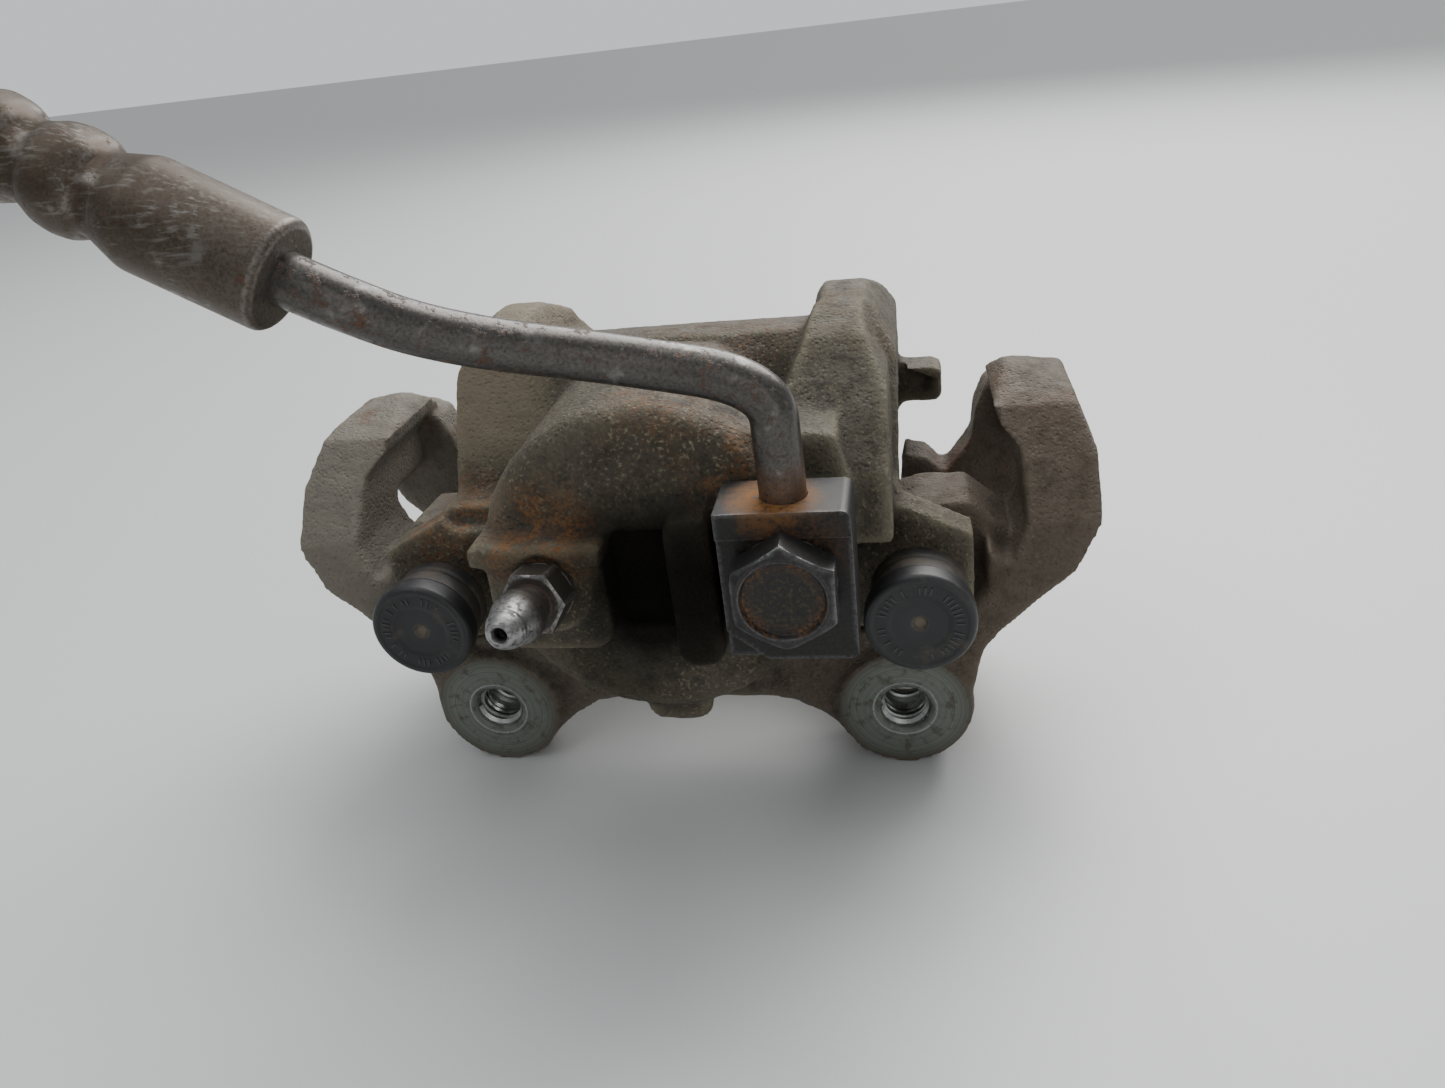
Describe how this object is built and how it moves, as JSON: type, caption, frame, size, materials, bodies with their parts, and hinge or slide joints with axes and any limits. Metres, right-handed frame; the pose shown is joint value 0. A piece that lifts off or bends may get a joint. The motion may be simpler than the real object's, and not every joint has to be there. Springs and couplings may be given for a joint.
{
  "type": "floating rear brake caliper with carrier bracket",
  "caption": "Single-piston floating brake caliper on its C-armed carrier bracket, with guide pins in rubber bushes, a bleeder screw, a bolted hose block, a steel pipe and a flexible hose.",
  "frame": {"origin": "midway between the two mounting holes, on the machined inboard face of the mounting ears", "axes": "+X along the disc's edge, +Y outboard towards the wheel, +Z away from the wheel's centre"},
  "size_m": [0.26, 0.2043, 0.1655],
  "materials": {
    "cast_carrier": "weathered cast iron, grey-brown with rusty edges",
    "cast_housing": "sandy cast iron, dark olive with khaki speckle",
    "pin_steel": "ground steel",
    "bush_rubber": "dusty black rubber",
    "cap_plastic": "black rubbery cap",
    "piston_steel": "ground and plated steel",
    "seal_rubber": "black rubber",
    "boot_rubber": "black rubber",
    "ring_steel": "pressed steel",
    "bleeder_steel": "worn bright tip, dark rusty hex",
    "block_steel": "dark phosphated steel with bright edges",
    "bolt_steel": "dark phosphated steel, rust in the dish",
    "washer_copper": "dull copper",
    "pipe_steel": "worn steel tube with brown rust spots",
    "ferrule_steel": "brown-grey crimped steel",
    "hose_rubber": "matt black hose cover",
    "fitting_steel": "plated steel fitting"
  },
  "bodies": {
    "carrier": {"carrier_bracket": "cast_carrier", "guide_pin_left": "pin_steel", "guide_pin_right": "pin_steel"},
    "caliper": {"caliper_housing": "cast_housing", "guide_bush_left": "bush_rubber", "guide_bush_right": "bush_rubber", "dust_cap_left": "cap_plastic", "dust_cap_right": "cap_plastic", "piston_seal": "seal_rubber", "piston_boot": "boot_rubber", "boot_ring": "ring_steel", "hose_block": "block_steel", "hose_bolt": "bolt_steel", "seal_washer_inner": "washer_copper", "seal_washer_outer": "washer_copper", "brake_pipe": "pipe_steel", "hose_ferrule": "ferrule_steel", "brake_hose": "hose_rubber", "hose_end_ferrule": "ferrule_steel", "hose_end_nut": "fitting_steel"},
    "piston": {"piston": "piston_steel"},
    "bleeder": {"bleeder_screw": "bleeder_steel"}
  },
  "joints": [
    {"name": "caliper_slide", "type": "slide", "parent": "carrier", "child": "caliper", "axis": [0, 1, 0], "range_m": [-0.008, 0.005]},
    {"name": "piston_travel", "type": "slide", "parent": "caliper", "child": "piston", "axis": [0, 1, 0], "range_m": [0, 0.02], "deforming": ["piston_boot"]},
    {"name": "bleeder_turn", "type": "hinge", "parent": "caliper", "child": "bleeder", "pos_m": [-0.017, -0.026, 0.047], "axis": [-0.0515, -0.9835, 0.1736], "range_deg": [0, 180]}
  ]
}
